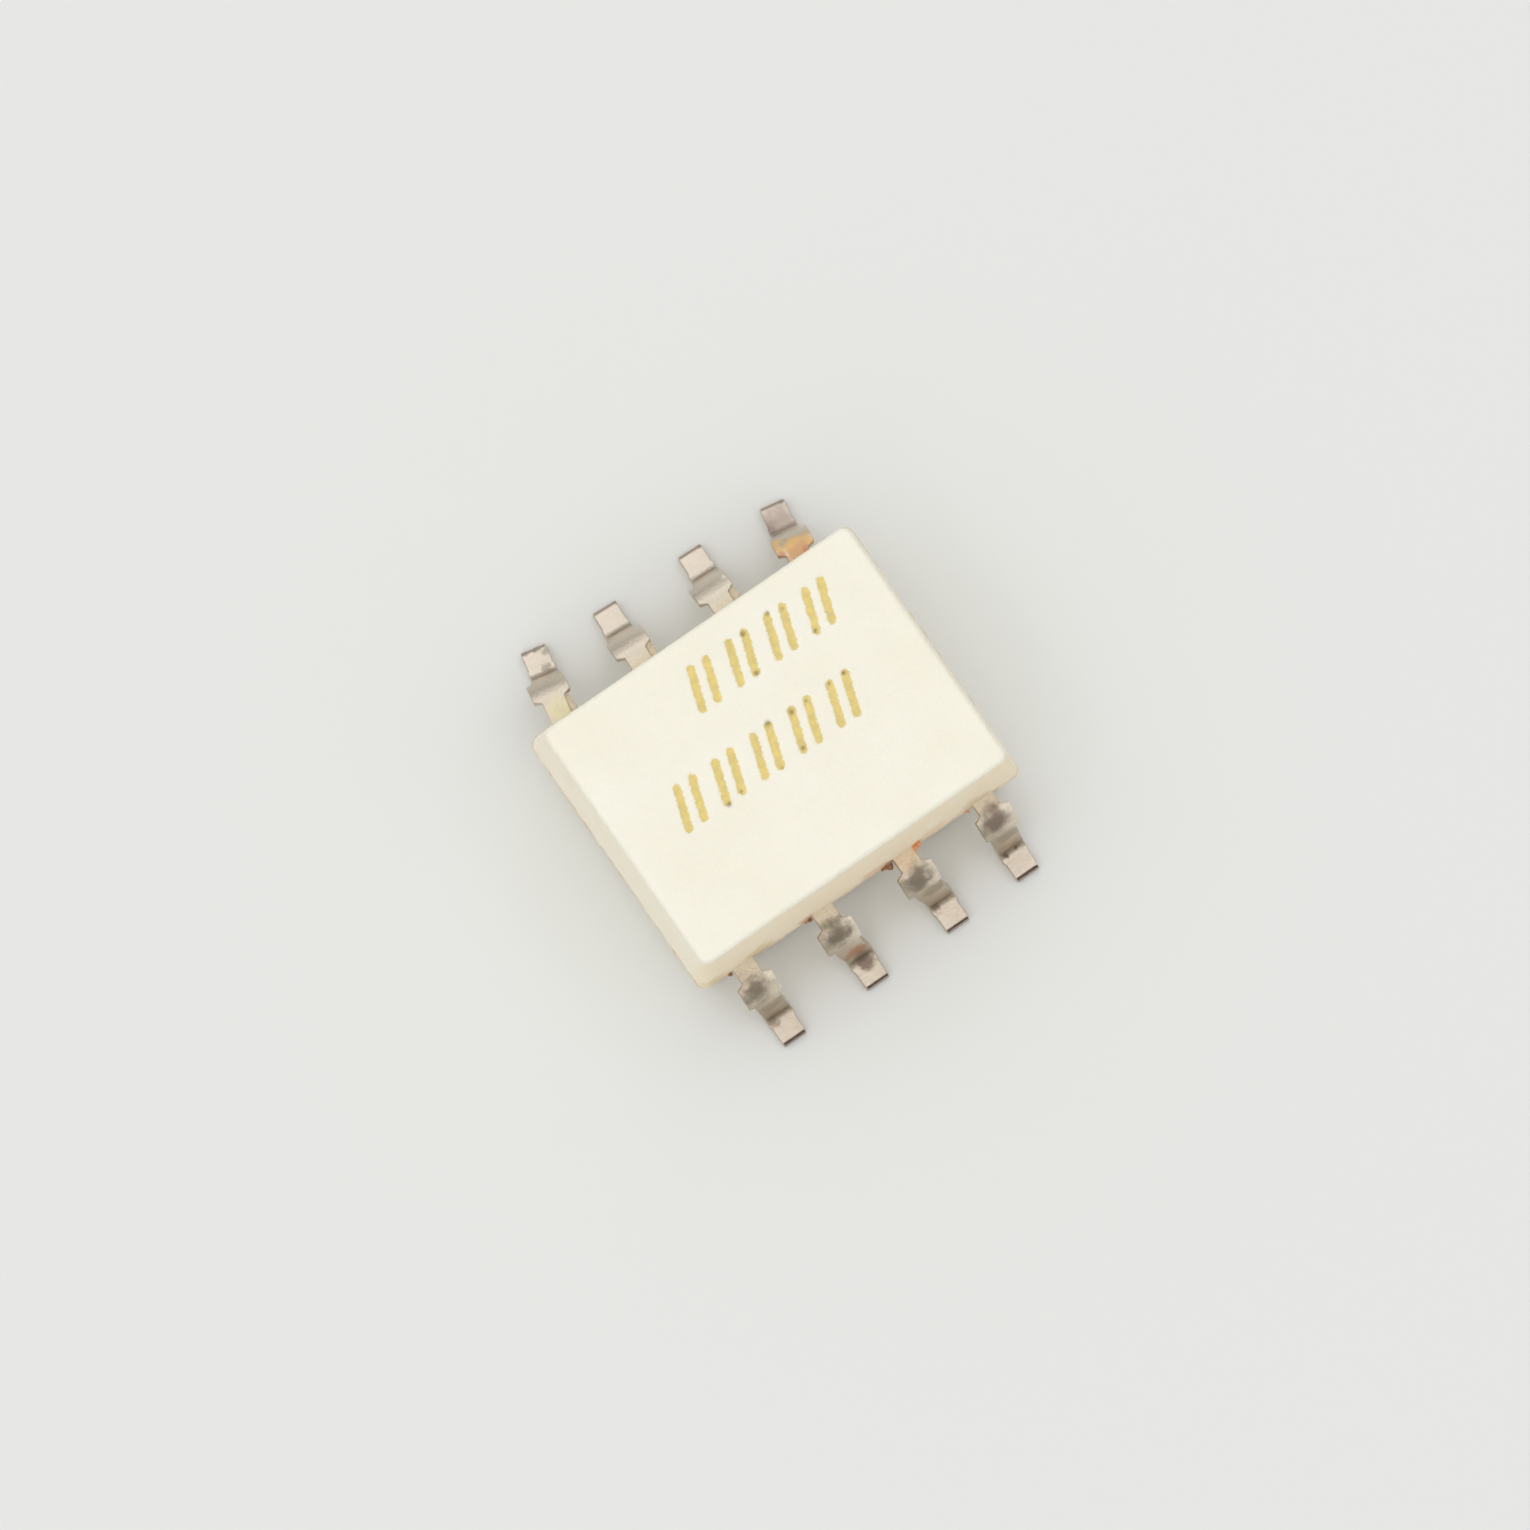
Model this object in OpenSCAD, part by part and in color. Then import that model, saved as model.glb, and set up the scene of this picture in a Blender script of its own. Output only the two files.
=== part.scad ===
// Eight-lead small-outline optocoupler in cream moulding resin, with gull-wing leads.
// The origin is the centre of the seating plane under the feet. +X runs along the rows of
// leads, +Y points to the row of leads 5 to 8, and +Z is up.
// A light-emitting die hangs face down over a detector die. Both sit in a clear block of
// coupling resin, and the cream resin is moulded round that block.

/* [Body] */
// Length of the body at its parting line, along the rows of leads
body_l = 5.05; // [4.9:0.05:5.6]
// Width of the body at its parting line, across the rows of leads
body_w = 3.97; // [3.8:0.01:4.2]
// Height of the body above its parting line
upper_h = 1.25; // [1.1:0.05:1.5]
// Depth of the body below its parting line
lower_h = 1.15; // [1.05:0.05:1.4]
// Draft of the walls above the parting line, in degrees
upper_draft = 6; // [5:1:10]
// Draft of the walls below the parting line, in degrees
lower_draft = 6; // [5:1:10]
// Radius of the upright corners where they meet the top or the bottom face
face_corner_r = 0.06; // [0.04:0.01:0.1]
// Width of the soft edge round the top and bottom faces
edge_soft = 0.07; // [0.04:0.01:0.1]
// Air gap between the body and the board
standoff = 0.1; // [0.05:0.05:0.2]

/* [Laser marks] */
// Height of a marked stroke across its row
mark_h = 0.62; // [0.4:0.02:0.8]
// Width of a marked stroke
mark_w = 0.11; // [0.08:0.01:0.14]
// Depth that the laser takes off
mark_depth = 0.02; // [0.01:0.01:0.04]
// Slant of the strokes from upright, in degrees
mark_slant = 18; // [0:2:24]
// Distance between the pairs of strokes in a row
mark_pitch = 0.6; // [0.5:0.02:0.7]
// Distance between the two strokes of a pair
mark_gap = 0.24; // [0.2:0.01:0.28]

/* [Leads] */
// Distance between neighbouring leads
pitch = 1.27; // [1.2:0.01:1.3]
// Distance between the foot tips of the two rows
lead_span = 6.1; // [5.8:0.05:6.4]
// Thickness of the lead strip
lead_t = 0.15; // [0.12:0.01:0.18]
// Width of a lead where it leaves the body
neck_w = 0.31; // [0.28:0.01:0.36]
// Width of a lead over the sheared stubs of the dam bar
stub_w = 0.52; // [0.46:0.01:0.6]
// Width of a lead's leg
leg_w = 0.38; // [0.35:0.01:0.42]
// Width of a lead's foot
foot_w = 0.35; // [0.3:0.01:0.38]
// Length of the straight neck between the body and the shoulder
neck_l = 0.19; // [0.16:0.01:0.3]
// Inner radius of the bend at the shoulder
shoulder_r = 0.16; // [0.1:0.01:0.2]
// Inner radius of the bend at the heel
heel_r = 0.1; // [0.08:0.01:0.14]
// Length of the flat of a foot
foot_flat = 0.3; // [0.2:0.01:0.35]
// How far the dam bar stubs reach down the leg, past the shoulder
stub_drop = 0.06; // [0.05:0.01:0.1]
// Bevel that the shear leaves on the upper edge of a foot's tip
cut_bevel = 0.05; // [0.03:0.01:0.06]

/* [Lead frame inside] */
// Width of the strips inside the body
finger_w = 0.32; // [0.28:0.01:0.4]
// Distance of the die planes above and below the parting plane
plane_offset = 0.45; // [0.42:0.01:0.5]
// Length of the slope between the parting plane and a die plane
ramp_l = 0.3; // [0.25:0.01:0.34]
// Length of the detector pad, along the rows
detector_pad_l = 1.3; // [1.24:0.02:1.4]
// Width of the detector pad, across the rows
detector_pad_w = 1.02; // [1.0:0.01:1.04]
// Side of the emitter pad across the rows
emitter_pad_w = 0.6; // [0.5:0.02:0.7]
// Length of the blind anchors of leads 1 and 4
anchor_l = 0.24; // [0.2:0.02:0.28]
// Width of the blind anchors of leads 1 and 4
anchor_w = 0.62; // [0.5:0.02:0.7]

/* [Coupling block] */
// Length of the clear block, along the rows
block_l = 3.5; // [3.4:0.05:3.8]
// Width of the clear block, across the rows
block_w = 2.3; // [2.25:0.05:2.5]
// Height of the clear block, with the parting plane at its middle
block_h = 1.5; // [1.4:0.05:1.6]

/* [Dies] */
// Side of the square emitter die
emitter_side = 0.3; // [0.2:0.02:0.4]
// Thickness of the emitter die
emitter_t = 0.15; // [0.1:0.01:0.18]
// Length of the detector die, along the rows
detector_l = 1.1; // [1.06:0.02:1.16]
// Width of the detector die, across the rows
detector_w = 0.9; // [0.86:0.02:0.94]
// Thickness of the detector die
detector_t = 0.2; // [0.15:0.01:0.22]
// Thickness of the bonding paste under each die
paste_t = 0.02; // [0.01:0.005:0.03]
// Diameter of the bond wires
wire_d = 0.03; // [0.02:0.005:0.04]
// Height of a bond wire's loop
loop_h = 0.18; // [0.12:0.01:0.2]

/* [Hidden] */

parting_z = standoff + lower_h;
// The walls lean in by this much between the parting line and the soft edges.
upper_inset = (upper_h - edge_soft) * tan(upper_draft);
lower_inset = (lower_h - edge_soft) * tan(lower_draft);
wall_corner_r = face_corner_r + edge_soft;
// Rows of marks: pairs of strokes in the row, and the place of its middle.
mark_rows = [[4, 0.6, 1.18], [5, -0.13, 0]];
// Cutters pass through the faces that they open by this much.
through = 0.2;

// The leads are bent a little by handling. For leads 1 to 8 these give how far along the row
// a lead leaves the body off its place, how far its foot is pushed in to the body, how far its
// leg leans along the row, and its turn about its exit as seen from above.
exit_shift = [0.02, 0, 0.01, 0, -0.14, -0.06, -0.09, -0.09];
push_in = [-0.03, -0.04, -0.02, 0.02, 0.12, 0.03, 0.01, -0.1];
leg_lean = [0.08, 0.14, 0.15, 0.03, 0.03, 0.1, 0.04, 0.07];
lead_turn = [0, 0, 0, 0, -10, -2, -3, -11];

// Leads 1 to 4 run towards +X in the -Y row, and leads 5 to 8 run back in the +Y row.
function row_side(n) = n < 5 ? -1 : 1;
function lead_x(n) = (n < 5 ? n - 2.5 : 6.5 - n) * pitch + exit_shift[n - 1];

// ---------------------------------------------------------------- skins

// A solid through a row of rings with as many points each, closed by its first and last ring.
// Seen from the last ring's side, every ring runs clockwise.
module skin(rings) {
    sides = len(rings[0]);
    last = len(rings) - 1;
    walls = [for (k = [0 : last - 1], i = [0 : sides - 1])
        let (
            a = k * sides + i,
            b = k * sides + (i + 1) % sides
        )
        each [[a, b, b + sides], [a, b + sides, a + sides]]];
    start_cap = [for (i = [sides - 1 : -1 : 0]) i];
    end_cap = [for (i = [0 : sides - 1]) last * sides + i];
    polyhedron([for (ring = rings) each ring], concat(walls, [start_cap, end_cap]));
}

// ---------------------------------------------------------------- body

// Flats that stand for a round corner of the body.
CORNER_STEPS = 6;
// Flats that stand for a round end of a laser stroke.
STROKE_STEPS = 6;

// Ring round the body at one height, drawn in from its size at the parting line, with upright
// corners of radius r.
function body_ring(z, drawn_in, r) =
    let (
        reach = [body_l / 2 - drawn_in - r, body_w / 2 - drawn_in - r],
        signs = [[1, 1], [1, -1], [-1, -1], [-1, 1]]
    )
    [for (q = [0 : 3], i = [0 : CORNER_STEPS])
        let (angle = 90 - 90 * (q + i / CORNER_STEPS))
        [
            signs[q][0] * reach[0] + r * cos(angle),
            signs[q][1] * reach[1] + r * sin(angle),
            z
        ]];

// The whole moulding: drafted walls that meet at the parting line, and soft edges.
module body_shape() {
    top_z = parting_z + upper_h;
    skin([
        body_ring(standoff, lower_inset + edge_soft, face_corner_r),
        body_ring(standoff + edge_soft, lower_inset, wall_corner_r),
        body_ring(parting_z, 0, wall_corner_r),
        body_ring(top_z - edge_soft, upper_inset, wall_corner_r),
        body_ring(top_z, upper_inset + edge_soft, face_corner_r)
    ]);
}

// One laser stroke: a slanted bar with round ends, sunk into the top face.
module mark_stroke() {
    bar_l = mark_h / cos(mark_slant) - mark_w;
    rotate([0, 0, -mark_slant])
        translate([0, 0, -mark_depth])
            linear_extrude(height = mark_depth + through)
                polygon([for (end = [1, -1], i = [0 : STROKE_STEPS])
                    let (angle = 180 * i / STROKE_STEPS)
                    end * [mark_w / 2 * cos(angle), bar_l / 2 + mark_w / 2 * sin(angle)]]);
}

// Two rows of stroke pairs, where such a chip carries its laser print.
module marks() {
    for (row = mark_rows, pair = [0 : row[0] - 1], side = [-1, 1])
        translate([
            row[1] + (pair - (row[0] - 1) / 2) * mark_pitch + side * mark_gap / 2,
            row[2],
            parting_z + upper_h
        ])
            mark_stroke();
}

module mould_body() {
    color([0.96, 0.94, 0.87])
        difference() {
            body_shape();
            block_shape();
            for (n = [1 : 8]) lead_cavity(n);
            marks();
        }
}

// ---------------------------------------------------------------- coupling block

module block_shape() {
    translate([0, 0, parting_z]) cube([block_l, block_w, block_h], center = true);
}

module coupling_block() {
    color([0.93, 0.9, 0.82, 0.6])
        difference() {
            block_shape();
            for (n = [1 : 8]) lead_cavity(n);
            emitter_die_shape();
            emitter_paste_shape();
            detector_die_shape();
            detector_paste_shape();
            for (ends = wire_ends) wire_shape(ends);
        }
}

// ---------------------------------------------------------------- leads outside the body

// The strip's middle line runs through two bends joined by a straight leg. Leads are drawn in
// the +Y row, with y outward.
exit_y = body_w / 2;
function tip_y(n) = lead_span / 2 - push_in[n - 1];
function heel_y(n) = tip_y(n) - foot_flat;
function shoulder_y(n) = exit_y + neck_l - push_in[n - 1];
function foot_x(n) = lead_x(n) + leg_lean[n - 1];

// The heel's bend is centred this far outward of the shoulder's bend, and this far below it.
shoulder_mid_r = shoulder_r + lead_t / 2;
heel_mid_r = heel_r + lead_t / 2;
both_r = shoulder_mid_r + heel_mid_r;
bend_reach = heel_y(1) - shoulder_y(1);
bend_drop = parting_z - lead_t / 2 - both_r;
// The leg touches both bends, which gives its length and its lean from upright.
leg_l = sqrt(bend_reach * bend_reach + bend_drop * bend_drop - both_r * both_r);
leg_tilt = atan2(bend_reach, bend_drop) - atan2(both_r, leg_l);
leg_dir = [sin(leg_tilt), -cos(leg_tilt)];

// Flats that stand for a bend in the strip.
BEND_STEPS = 8;
// Length over which the strip changes its width.
width_step = 0.04;

// A station of a strip: middle x, [y, z] of its middle line, angle of its upper face from
// outward, width and thickness.
function station(x, point, face, width, thick = lead_t) = [x, point, face, width, thick];

// The two bends, at one angle of their face.
function shoulder_point(n, face) =
    [shoulder_y(n), parting_z - shoulder_mid_r] + shoulder_mid_r * [cos(face), sin(face)];
function heel_point(n, face) =
    [heel_y(n), lead_t / 2 + heel_mid_r] - heel_mid_r * [cos(face), sin(face)];

// A point of the leg's middle line, some way down from the shoulder, and where it lies along
// the row.
function leg_point(n, down) = shoulder_point(n, leg_tilt) + down * leg_dir;
function leg_x(n, down) = lead_x(n) + leg_lean[n - 1] * (down - stub_drop) / (leg_l - stub_drop);

// Stations outside the body: neck, shoulder with the dam bar stubs, leg, heel and foot.
function gull_stations(n) = concat(
    [for (i = [0 : BEND_STEPS])
        let (face = 90 + (leg_tilt - 90) * i / BEND_STEPS)
        station(lead_x(n), shoulder_point(n, face), face, i == 0 ? neck_w : stub_w)],
    [
        station(lead_x(n), leg_point(n, stub_drop), leg_tilt, stub_w),
        station(
            leg_x(n, stub_drop + width_step), leg_point(n, stub_drop + width_step),
            leg_tilt, leg_w
        )
    ],
    [for (i = [0 : BEND_STEPS])
        let (face = leg_tilt + (90 - leg_tilt) * i / BEND_STEPS)
        station(foot_x(n), heel_point(n, face), face, leg_w)],
    [
        station(foot_x(n), [heel_y(n) + width_step, lead_t / 2], 90, foot_w),
        station(foot_x(n), [tip_y(n) - cut_bevel, lead_t / 2], 90, foot_w),
        station(foot_x(n), [tip_y(n), (lead_t - cut_bevel) / 2], 90, foot_w, lead_t - cut_bevel)
    ]
);

// The ring round a strip at one station. What lies outside the body turns about the exit.
function strip_ring(s, n) =
    let (
        turn = s[1][0] > exit_y ? row_side(n) * lead_turn[n - 1] : 0,
        up = s[4] / 2 * [cos(s[2]), sin(s[2])]
    )
    [for (corner = [[-1, 1], [-1, -1], [1, -1], [1, 1]])
        let (
            x = s[0] + corner[0] * s[3] / 2 - lead_x(n),
            point = s[1] + corner[1] * up,
            y = point[0] - exit_y
        )
        [
            lead_x(n) + x * cos(turn) - y * sin(turn),
            exit_y + x * sin(turn) + y * cos(turn),
            point[1]
        ]];

// ---------------------------------------------------------------- lead frame inside the body

// The slope to a die plane starts this far inside the coupling block.
ramp_margin = 0.1;
// Length of a bond post past its slope.
post_l = 0.15;
// Gap between neighbouring strips in one plane.
frame_gap = 0.13;
// Leads 5 and 8 turn inward to enter the block this far from its corners.
corner_margin = 0.14;
// Length over which a strip widens to its pad or anchor.
frame_step = 0.02;
// Resin that covers the turns of leads 5 and 8 on their outer and inner sides.
turn_cover = 0.3;
turn_margin = 0.12;

ramp_y = block_w / 2 - ramp_margin;
post_y = ramp_y - ramp_l - post_l;
corner_x = block_l / 2 - corner_margin - finger_w / 2;
anchor_y = (body_w + block_w) / 4;
emitter_pad_reach = emitter_pad_w / 2;
emitter_pad_start = lead_x(2) + finger_w / 2 + frame_gap;
emitter_pad_end = lead_x(3) + finger_w / 2;
emitter_pad_l = emitter_pad_end - emitter_pad_start;
emitter_pad_mid = (emitter_pad_start + emitter_pad_end) / 2;
detector_pad_top = post_y - frame_gap;
detector_pad_bottom = detector_pad_top - detector_pad_w;
detector_y = (detector_pad_top + detector_pad_bottom) / 2;
// The arm joins the detector pad to lead 5.
detector_arm_l = detector_pad_l / 2 + corner_x + finger_w / 2;
detector_arm_mid = detector_arm_l / 2 - detector_pad_l / 2;

// Which way a lead's strip slopes inside the block: 0 is a blind anchor in the parting plane.
function rise(n) = (n == 1 || n == 4) ? 0 : row_side(n) * -plane_offset;

// How far in a lead's strip runs, measured outward from the body's middle.
function inner_y(n) =
    (n == 1 || n == 4) ? anchor_y - anchor_l / 2
    : n < 5 ? -emitter_pad_reach
    : n == 5 ? detector_pad_bottom
    : post_y;

// Where along X a lead enters the coupling block.
function entry_x(n) = n == 5 ? corner_x : n == 8 ? -corner_x : lead_x(n);

// Height of the strip's middle line at a distance from the body's middle.
function frame_z(n, y) =
    parting_z + rise(n) * min(1, max(0, (ramp_y - y) / ramp_l));

// Plan of a pad or an anchor, as [middle x, y, width].
function end_plan(n) =
    n == 1 || n == 4 ? [
        [lead_x(n), inner_y(n), anchor_w],
        [lead_x(n), inner_y(n) + anchor_l, anchor_w]
    ]
    : n == 3 ? [
        [emitter_pad_mid, -emitter_pad_reach, emitter_pad_l],
        [emitter_pad_mid, emitter_pad_reach, emitter_pad_l]
    ]
    : n == 5 ? [
        [0, detector_pad_bottom, detector_pad_l],
        [0, detector_pad_top - finger_w - frame_step, detector_pad_l],
        [detector_arm_mid, detector_pad_top - finger_w, detector_arm_l],
        [detector_arm_mid, detector_pad_top, detector_arm_l]
    ]
    : [];

// Where the plain strip of a lead starts, past its pad or anchor.
function strip_y(n) =
    n == 1 || n == 4 ? inner_y(n) + anchor_l + frame_step
    : n == 3 ? emitter_pad_reach + frame_step
    : n == 5 ? detector_pad_top + frame_step
    : inner_y(n);

// Plan of the strip inside the body, from its inner end. Leads 5 and 8 make a turn.
function frame_plan(n) = concat(
    end_plan(n),
    [[entry_x(n), strip_y(n), finger_w]],
    rise(n) == 0 ? [] : [
        [entry_x(n), ramp_y - ramp_l, finger_w],
        [entry_x(n), ramp_y, finger_w],
        [entry_x(n), block_w / 2 + turn_margin, finger_w]
    ],
    [[lead_x(n), exit_y - turn_cover, finger_w]]
);

function frame_stations(n) = concat(
    [for (p = frame_plan(n)) station(p[0], [p[1], frame_z(n, p[1])], 90, p[2])],
    [station(lead_x(n), [exit_y, parting_z], 90, neck_w)]
);

module strip(n, stations) {
    mirror([0, row_side(n) < 0 ? 1 : 0, 0]) skin([for (s = stations) strip_ring(s, n)]);
}

module lead_shape(n) {
    strip(n, concat(frame_stations(n), gull_stations(n)));
}

// The room that a lead takes up inside the body, with an end that passes through its wall.
module lead_cavity(n) {
    beyond = station(lead_x(n), [exit_y + through, parting_z], 90, neck_w);
    strip(n, concat(frame_stations(n), [beyond]));
}

module lead(n) {
    color([0.72, 0.66, 0.6]) lead_shape(n);
}

// ---------------------------------------------------------------- dies

emitter_pad_z = parting_z + plane_offset - lead_t / 2;
emitter_top_z = emitter_pad_z - paste_t;
emitter_face_z = emitter_top_z - emitter_t;
detector_pad_z = parting_z - plane_offset + lead_t / 2;
detector_low_z = detector_pad_z + paste_t;
detector_face_z = detector_low_z + detector_t;

module emitter_die_shape() {
    translate([-emitter_side / 2, -emitter_side / 2, emitter_face_z])
        cube([emitter_side, emitter_side, emitter_t]);
}

module emitter_paste_shape() {
    translate([-emitter_side / 2, -emitter_side / 2, emitter_top_z])
        cube([emitter_side, emitter_side, paste_t]);
}

module detector_die_shape() {
    translate([-detector_l / 2, detector_y - detector_w / 2, detector_low_z])
        cube([detector_l, detector_w, detector_t]);
}

module detector_paste_shape() {
    translate([-detector_l / 2, detector_y - detector_w / 2, detector_pad_z])
        cube([detector_l, detector_w, paste_t]);
}

module emitter_die() {
    color([0.75, 0.35, 0.3]) emitter_die_shape();
}

module emitter_paste() {
    color([0.8, 0.8, 0.78]) emitter_paste_shape();
}

module detector_die() {
    color([0.35, 0.36, 0.42]) detector_die_shape();
}

module detector_paste() {
    color([0.8, 0.8, 0.78]) detector_paste_shape();
}

// ---------------------------------------------------------------- bond wires

// Distance of a wire's end from the edge of its die.
bond_inset = 0.08;
WIRE_SIDES = 8;
WIRE_STEPS = 10;

bond_y = detector_y + detector_w / 2 - bond_inset;
post_bond_y = post_y + post_l / 2;
// Each wire runs from its die to its post: [start, end, direction of the loop].
wire_ends = [
    [[-emitter_side / 4, 0, emitter_face_z], [lead_x(2), 0, emitter_pad_z], -1],
    [[detector_l / 2 - bond_inset, detector_pad_top - finger_w / 2, detector_face_z],
        [(detector_pad_l / 2 + corner_x) / 2, detector_pad_top - finger_w / 2, detector_pad_z], 1],
    [[detector_l / 4, bond_y, detector_face_z], [lead_x(6), post_bond_y, detector_pad_z], 1],
    [[-detector_l / 4, bond_y, detector_face_z], [lead_x(7), post_bond_y, detector_pad_z], 1],
    [[bond_inset - detector_l / 2, bond_y - 2 * bond_inset, detector_face_z],
        [-corner_x, post_bond_y, detector_pad_z], 1]
];

// A ring round the wire at one angle of its half-turn loop. The loop stands upright over the
// line between its ends, and leaves and meets both faces at right angles.
function wire_ring(ends, angle) =
    let (
        flat = [ends[1][0] - ends[0][0], ends[1][1] - ends[0][1]],
        span = norm(flat),
        along = [flat[0] / span, flat[1] / span, 0],
        across = [-along[1], along[0], 0],
        climb = ends[1][2] - ends[0][2],
        share = (1 - cos(angle)) / 2,
        centre = ends[0] + share * span * along
            + [0, 0, share * climb + ends[2] * loop_h * sin(angle)],
        heading = [span / 2 * sin(angle), climb / 2 * sin(angle) + ends[2] * loop_h * cos(angle)],
        normal = (-heading[1] * along + [0, 0, heading[0]]) / norm(heading)
    )
    [for (i = [0 : WIRE_SIDES - 1])
        let (turn = 360 * i / WIRE_SIDES)
        centre + wire_d / 2 * (cos(turn) * normal + sin(turn) * across)];

module wire_shape(ends) {
    skin([for (k = [0 : WIRE_STEPS]) wire_ring(ends, 180 * k / WIRE_STEPS)]);
}

module wire(k) {
    color([0.9, 0.75, 0.35]) wire_shape(wire_ends[k]);
}

// ---------------------------------------------------------------- nodes

mould_body();
coupling_block();
for (n = [1 : 8])
    lead(n);
emitter_die();
emitter_paste();
detector_die();
detector_paste();
wire(0);  // emitter_wire
wire(1);  // ground_wire
wire(2);  // output_wire
wire(3);  // base_wire
wire(4);  // supply_wire
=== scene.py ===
"""Looks of an eight-lead small-outline optocoupler in cream resin, on a plain pale floor.

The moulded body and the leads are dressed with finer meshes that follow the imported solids.
Lengths are in millimetres until a mesh is done, because the object is only a few of them long.
"""

import math
import random

import bmesh
import bpy
import numpy as np
from mathutils import Matrix, Vector, noise


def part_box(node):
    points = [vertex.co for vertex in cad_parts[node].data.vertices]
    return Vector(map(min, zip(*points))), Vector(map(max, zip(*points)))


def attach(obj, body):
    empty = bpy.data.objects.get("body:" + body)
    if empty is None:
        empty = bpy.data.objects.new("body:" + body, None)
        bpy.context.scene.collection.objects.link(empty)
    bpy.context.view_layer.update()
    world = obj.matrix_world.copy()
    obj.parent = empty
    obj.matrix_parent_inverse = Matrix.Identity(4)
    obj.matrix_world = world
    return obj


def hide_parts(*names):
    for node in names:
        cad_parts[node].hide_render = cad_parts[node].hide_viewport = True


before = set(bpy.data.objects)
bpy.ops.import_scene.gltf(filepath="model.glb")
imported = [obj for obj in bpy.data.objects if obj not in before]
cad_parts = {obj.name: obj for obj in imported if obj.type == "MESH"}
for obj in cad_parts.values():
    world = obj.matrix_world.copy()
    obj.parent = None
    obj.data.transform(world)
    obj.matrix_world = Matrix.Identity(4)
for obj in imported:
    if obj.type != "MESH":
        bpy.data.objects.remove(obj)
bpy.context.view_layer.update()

MM = 0.001
SEED = 11


def mm_box(node):
    """Lowest and highest corner of a CAD node, in millimetres."""
    low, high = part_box(node)
    return low / MM, high / MM


# ---------------------------------------------------------------- sizes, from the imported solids

BODY_LOW, BODY_HIGH = mm_box("mould_body")
BLOCK_LOW, BLOCK_HIGH = mm_box("coupling_block")
PARTING_Z = (BLOCK_LOW.z + BLOCK_HIGH.z) / 2
TOP_Z = BODY_HIGH.z

# The body's own form: draft of its walls, soft edge and upright corners, as in its solid.
DRAFT = math.radians(6)
EDGE = 0.07
CORNER = 0.06
WALL_R = CORNER + EDGE

upper_inset = (BODY_HIGH.z - PARTING_Z - EDGE) * math.tan(DRAFT)
lower_inset = (PARTING_Z - BODY_LOW.z - EDGE) * math.tan(DRAFT)

# Laser marks: rows of paired slanted strokes, as (pairs, middle x, middle y).
MARK_ROWS = [(4, 0.6, 1.18), (5, -0.13, 0.0)]
MARK_PITCH = 0.6
MARK_GAP = 0.24
MARK_H = 0.62
MARK_W = 0.11
MARK_DEPTH = 0.02
MARK_SLANT = math.radians(18)

# ---------------------------------------------------------------- camera

VIEW_AZIMUTH = math.radians(-34.7)
VIEW_ELEVATION = math.radians(82.6)
VIEW_DISTANCE = 200
VIEW_WIDTH = 20.03  # of the floor, where the camera looks at it
VIEW_AIM = Vector((-0.071, 0.128, 0))
VIEW_CLIP = (10, 2000)


def add_camera():
    """A camera that looks at the part from nearly overhead, as the photo does."""
    side, up = math.cos(VIEW_ELEVATION), math.sin(VIEW_ELEVATION)
    back = Vector((math.sin(VIEW_AZIMUTH) * side, -math.cos(VIEW_AZIMUTH) * side, up))
    data = bpy.data.cameras.new("camera")
    data.lens = data.sensor_width * VIEW_DISTANCE / VIEW_WIDTH
    data.clip_start, data.clip_end = (reach * MM for reach in VIEW_CLIP)
    camera = bpy.data.objects.new("camera", data)
    camera.rotation_mode = "QUATERNION"
    camera.rotation_quaternion = back.to_track_quat("Z", "Y")
    camera.location = (VIEW_AIM + back * VIEW_DISTANCE) * MM
    bpy.context.scene.collection.objects.link(camera)
    bpy.context.scene.camera = camera


# ---------------------------------------------------------------- materials


def rgb(red, green, blue):
    """An sRGB colour of 0 to 255 as the linear colour that shaders take."""
    parts = [c / 255 for c in (red, green, blue)]
    return tuple(c / 12.92 if c <= 0.04045 else ((c + 0.055) / 1.055) ** 2.4 for c in parts) + (1,)


# Sockets of the shader whose names aren't plain title case.
SOCKETS = {"ior_level": "Specular IOR Level"}
# How much of the noise is in its finer layers, and the values between which it mostly lies.
NOISE_ROUGHNESS = 0.55
NOISE_SPAN = (0.3, 0.7)


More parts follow.
